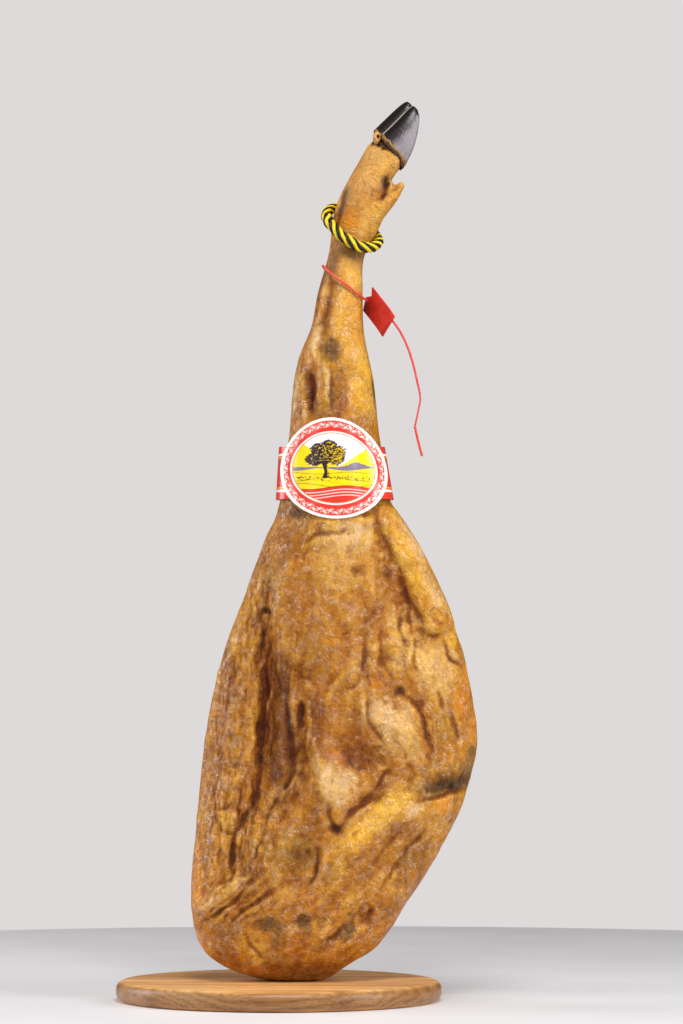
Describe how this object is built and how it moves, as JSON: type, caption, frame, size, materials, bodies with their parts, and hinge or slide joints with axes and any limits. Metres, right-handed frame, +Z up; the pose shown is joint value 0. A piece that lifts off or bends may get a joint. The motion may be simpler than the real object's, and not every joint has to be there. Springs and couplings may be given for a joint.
{
  "type": "cured ham",
  "caption": "Whole dry-cured ham with its foot, upright on a round wooden board, with a paper sleeve, a twisted rope loop and a plastic seal.",
  "frame": {"origin": "centre of the board's underside", "axes": "+Z up along the ham, -Y out of the cut meat side, +X towards the side that the foot bends to"},
  "size_m": [0.3496, 0.315, 0.8716],
  "materials": {
    "board_wood": "oiled",
    "cured_skin": "greasy sheen",
    "claw_horn": "polished horn",
    "label_paper": "coated paper",
    "rope_fibre": "twisted",
    "whipping_twine": "waxed",
    "seal_plastic": "moulded"
  },
  "bodies": {
    "root": {"board": "board_wood", "ham": "cured_skin", "claw_front": "claw_horn", "claw_back": "claw_horn", "label_sleeve": "label_paper", "rope_loop": "rope_fibre", "rope_whipping": "whipping_twine", "seal_strap": "seal_plastic", "seal_tail": "seal_plastic", "seal_tail_end": "seal_plastic", "seal_tag": "seal_plastic"}
  },
  "joints": []
}
